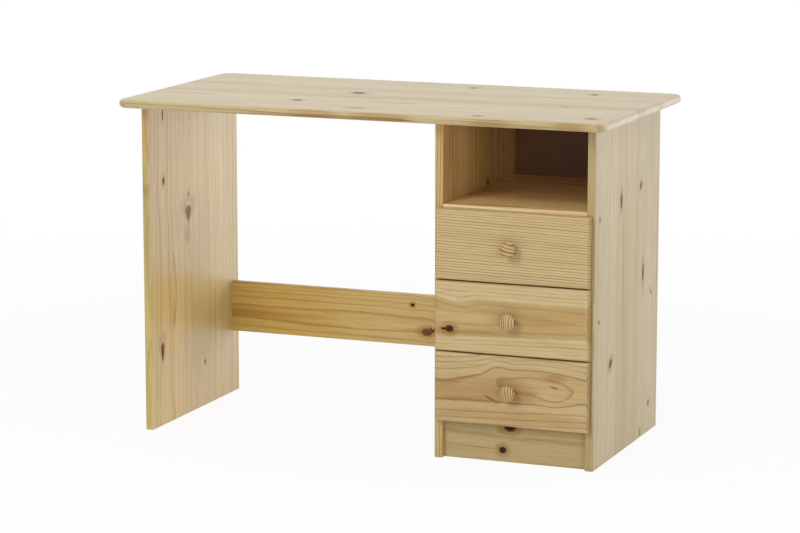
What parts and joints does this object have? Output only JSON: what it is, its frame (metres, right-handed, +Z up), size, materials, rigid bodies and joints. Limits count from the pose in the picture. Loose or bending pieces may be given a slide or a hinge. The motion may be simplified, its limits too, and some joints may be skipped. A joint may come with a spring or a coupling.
{
  "type": "kneehole desk",
  "caption": "Pine kneehole desk: thin round-edged desktop on panel sides, a drawer pedestal with turned knobs and an open compartment on one side, and a low rear stretcher.",
  "frame": {"origin": "on the floor under the middle of the desktop", "axes": "+X to the right along the desktop, -Y to the front where the sitter is, +Z up"},
  "size_m": [1.1, 0.55, 0.73],
  "materials": {
    "pine_board": "clear satin lacquer on knotty pine",
    "turned_pine": "clear satin lacquer on turned pine",
    "beech_runner": "planed, unfinished",
    "beech_dowel": "raw",
    "brown_hardboard": "smooth brown face",
    "pale_hardboard": "smooth face",
    "zinc_casting": "dull die casting",
    "plated_steel": "zinc plated"
  },
  "bodies": {
    "carcass": {"back_panel": "brown_hardboard", "back_panel_nails": "plated_steel", "bottom_dowels": "beech_dowel", "bracket_screws": "plated_steel", "cam_bolts": "plated_steel", "cam_locks": "zinc_casting", "desktop": "pine_board", "left_side_panel": "pine_board", "pedestal_bottom": "pine_board", "pedestal_left_panel": "pine_board", "pedestal_right_panel": "pine_board", "plinth": "pine_board", "plinth_dowels": "beech_dowel", "runner_bottom_left": "beech_runner", "runner_bottom_right": "beech_runner", "runner_middle_left": "beech_runner", "runner_middle_right": "beech_runner", "runner_screws": "plated_steel", "runner_top_left": "beech_runner", "runner_top_right": "beech_runner", "shelf": "pine_board", "shelf_dowels": "beech_dowel", "stretcher": "pine_board", "stretcher_dowels": "beech_dowel", "top_brackets": "plated_steel", "top_dowels": "beech_dowel"},
    "bottom_drawer": {"bottom_drawer_back": "pine_board", "bottom_drawer_bottom": "pale_hardboard", "bottom_drawer_dowels": "beech_dowel", "bottom_drawer_front": "pine_board", "bottom_drawer_knob": "turned_pine", "bottom_drawer_knob_screw": "plated_steel", "bottom_drawer_left_side": "pine_board", "bottom_drawer_right_side": "pine_board", "bottom_drawer_screws": "plated_steel"},
    "middle_drawer": {"middle_drawer_back": "pine_board", "middle_drawer_bottom": "pale_hardboard", "middle_drawer_dowels": "beech_dowel", "middle_drawer_front": "pine_board", "middle_drawer_knob": "turned_pine", "middle_drawer_knob_screw": "plated_steel", "middle_drawer_left_side": "pine_board", "middle_drawer_right_side": "pine_board", "middle_drawer_screws": "plated_steel"},
    "top_drawer": {"top_drawer_back": "pine_board", "top_drawer_bottom": "pale_hardboard", "top_drawer_dowels": "beech_dowel", "top_drawer_front": "pine_board", "top_drawer_knob": "turned_pine", "top_drawer_knob_screw": "plated_steel", "top_drawer_left_side": "pine_board", "top_drawer_right_side": "pine_board", "top_drawer_screws": "plated_steel"}
  },
  "joints": [
    {"name": "bottom_drawer_slide", "type": "slide", "parent": "carcass", "child": "bottom_drawer", "axis": [0, -1, 0], "range_m": [0, 0.32]},
    {"name": "middle_drawer_slide", "type": "slide", "parent": "carcass", "child": "middle_drawer", "axis": [0, -1, 0], "range_m": [0, 0.32]},
    {"name": "top_drawer_slide", "type": "slide", "parent": "carcass", "child": "top_drawer", "axis": [0, -1, 0], "range_m": [0, 0.32]}
  ]
}
